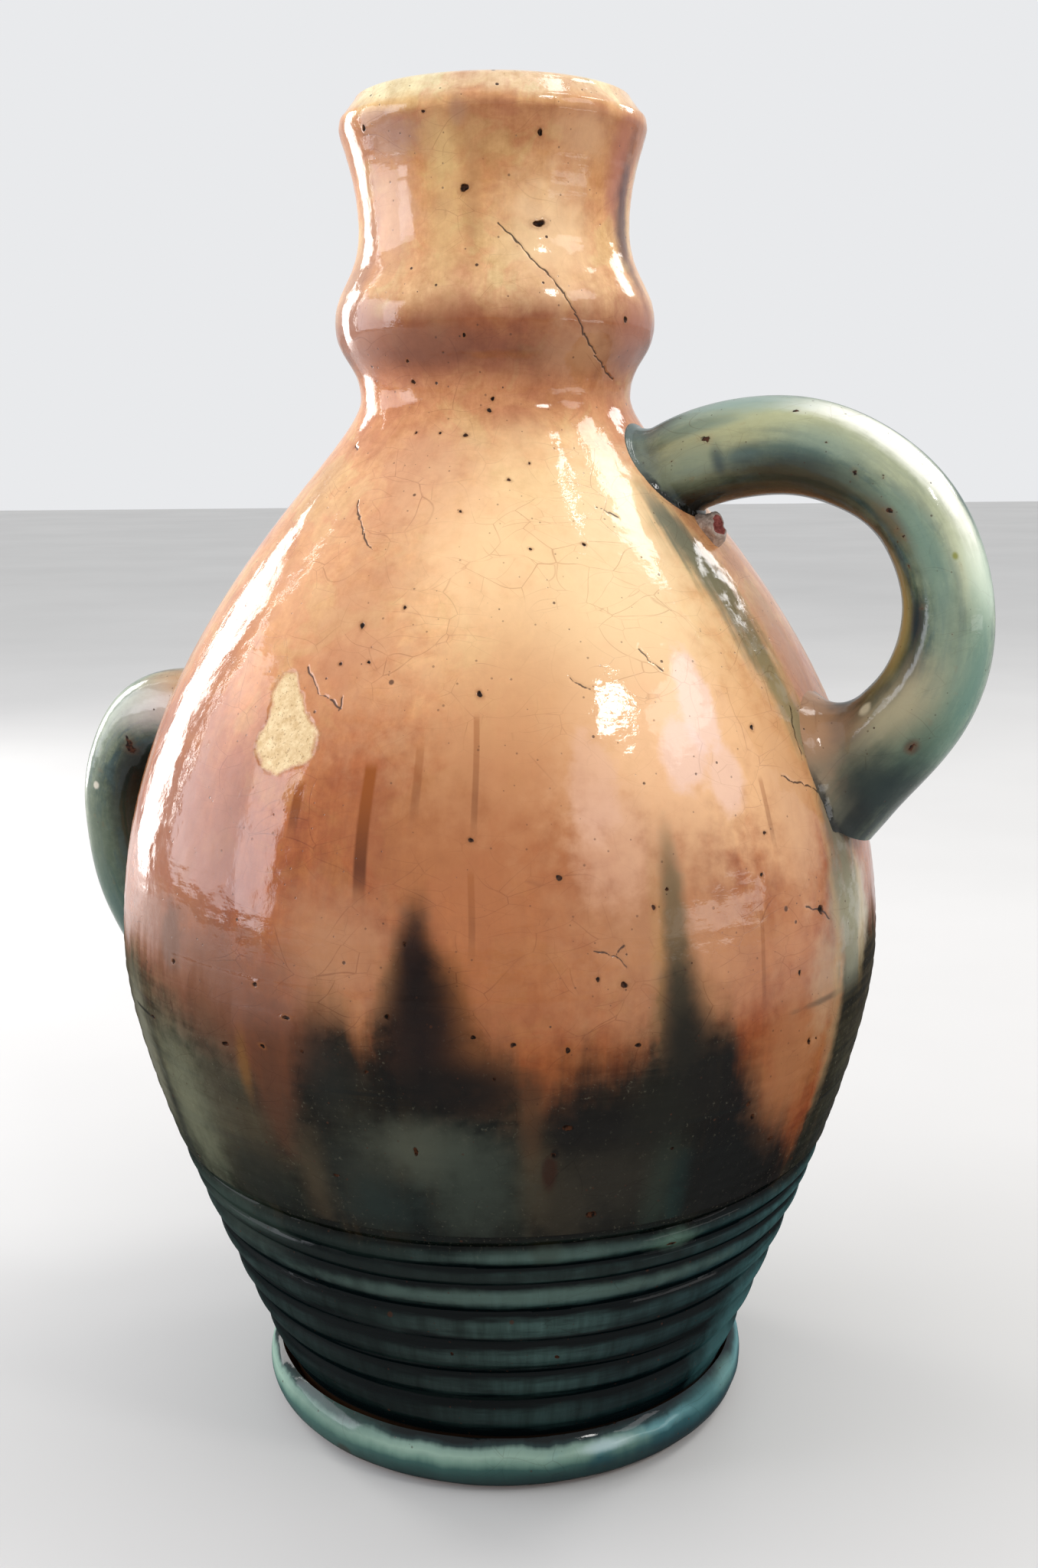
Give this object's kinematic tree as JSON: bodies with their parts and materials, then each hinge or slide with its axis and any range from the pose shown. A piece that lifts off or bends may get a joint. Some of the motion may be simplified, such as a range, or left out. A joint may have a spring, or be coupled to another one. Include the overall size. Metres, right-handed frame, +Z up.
{
  "type": "two-handled vase",
  "caption": "Glazed stoneware vase with a ribbed lower body, round belly, waisted neck with collar and rolled lip, and loop handles set high on one side and low on the other.",
  "frame": {"origin": "centre of the flat base, on the wheel axis", "axes": "+Z up the wheel axis; the high right handle points 25 degrees from +X towards -Y, which is the side the picture shows, and the low left handle points 30 degrees from -X towards +Y"},
  "size_m": [0.2003, 0.164, 0.28],
  "materials": {
    "foot_glaze": "glossy celadon glaze, teal underneath",
    "lower_glaze": "glossy dark teal glaze, lighter on the ribs",
    "belly_glaze": "glossy apricot and tan glaze with dark runs, finely crazed",
    "neck_glaze": "glossy pinkish cream glaze",
    "handle_glaze": "glossy grey-green glaze",
    "luting_glaze": "glossy grey-green glaze with a dark joint line"
  },
  "bodies": {
    "root": {"foot_ring": "foot_glaze", "lower_body": "lower_glaze", "upper_body": "belly_glaze", "neck": "neck_glaze", "right_handle": "handle_glaze", "left_handle": "handle_glaze", "right_upper_luting": "luting_glaze", "right_lower_luting": "luting_glaze", "left_upper_luting": "luting_glaze", "left_lower_luting": "luting_glaze"}
  },
  "joints": []
}
